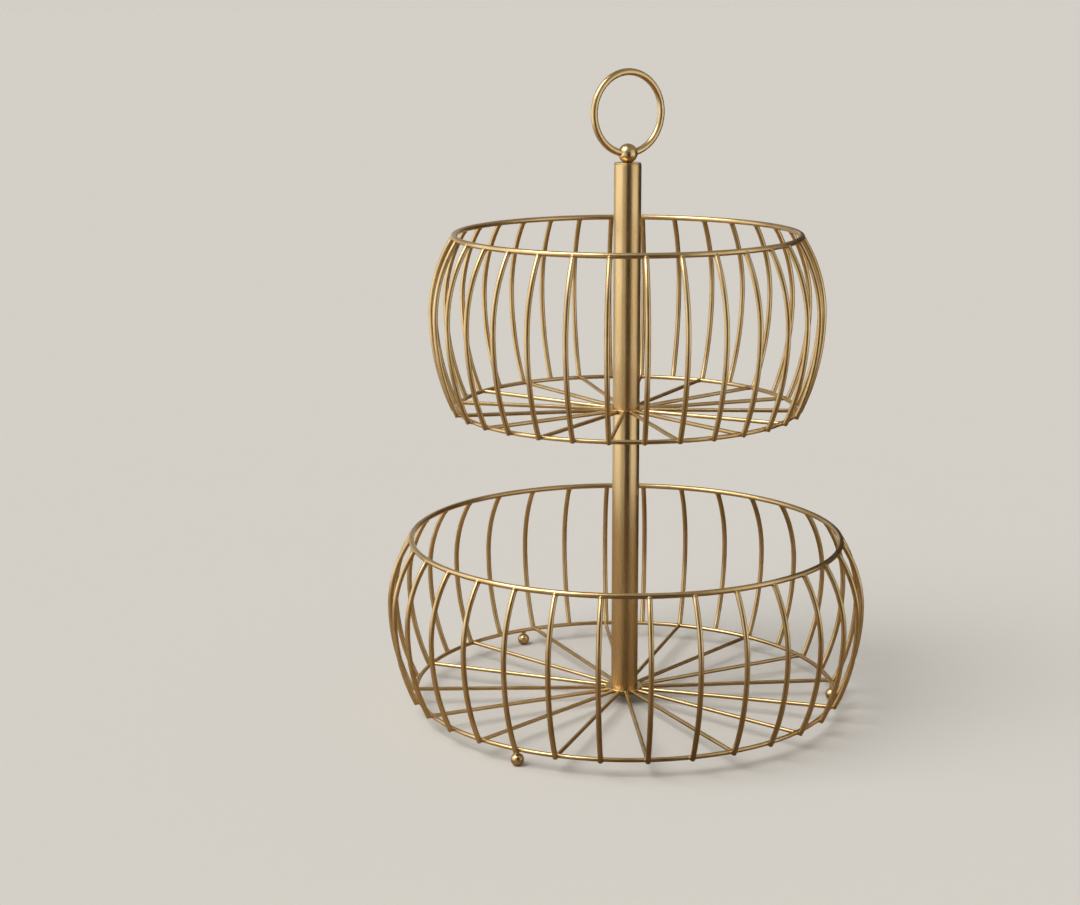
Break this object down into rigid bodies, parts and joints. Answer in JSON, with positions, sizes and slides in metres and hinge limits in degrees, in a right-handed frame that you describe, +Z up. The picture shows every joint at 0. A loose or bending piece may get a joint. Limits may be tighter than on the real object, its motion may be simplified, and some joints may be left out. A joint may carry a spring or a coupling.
{
  "type": "tiered wire basket",
  "caption": "Round open wire fruit basket in two bowed tiers on a central tube, with ball feet, a ball finial and an upright ring handle.",
  "frame": {"origin": "on the pole's axis, on the surface that the three ball feet stand on", "axes": "+Z up along the pole; the handle ring stands in the XZ plane; -Y is called the front, and the baskets' ribs lie half a pitch off the axes"},
  "size_m": [0.3382, 0.3382, 0.4512],
  "materials": {
    "satin_brass_wire": "bent and welded steel wire under a satin brass-toned lacquered plating",
    "satin_brass_tube": "drawn steel tube, brushed along its length under a satin brass-toned plating",
    "satin_brass_turned": "turned or stamped steel under the same satin brass-toned plating",
    "zinc_steel": "bright zinc-plated screws, washer and threaded inserts"
  },
  "bodies": {
    "root": {"lower_top_rim": "satin_brass_wire", "lower_bottom_ring": "satin_brass_wire", "lower_ribs": "satin_brass_wire", "lower_floor_spokes": "satin_brass_wire", "lower_hub_plate": "satin_brass_turned", "ball_feet": "satin_brass_turned", "upper_top_rim": "satin_brass_wire", "upper_bottom_ring": "satin_brass_wire", "upper_ribs": "satin_brass_wire", "upper_floor_spokes": "satin_brass_wire", "upper_hub_plate": "satin_brass_turned", "lower_tube": "satin_brass_tube", "upper_tube": "satin_brass_tube", "lower_tube_foot_insert": "zinc_steel", "lower_tube_top_insert": "zinc_steel", "upper_tube_foot_insert": "zinc_steel", "joining_stud": "zinc_steel", "base_washer": "zinc_steel", "base_screw": "zinc_steel", "pole_cap": "satin_brass_turned", "finial_stud": "zinc_steel", "finial_ball": "satin_brass_turned", "handle_ring": "satin_brass_wire"}
  },
  "joints": []
}
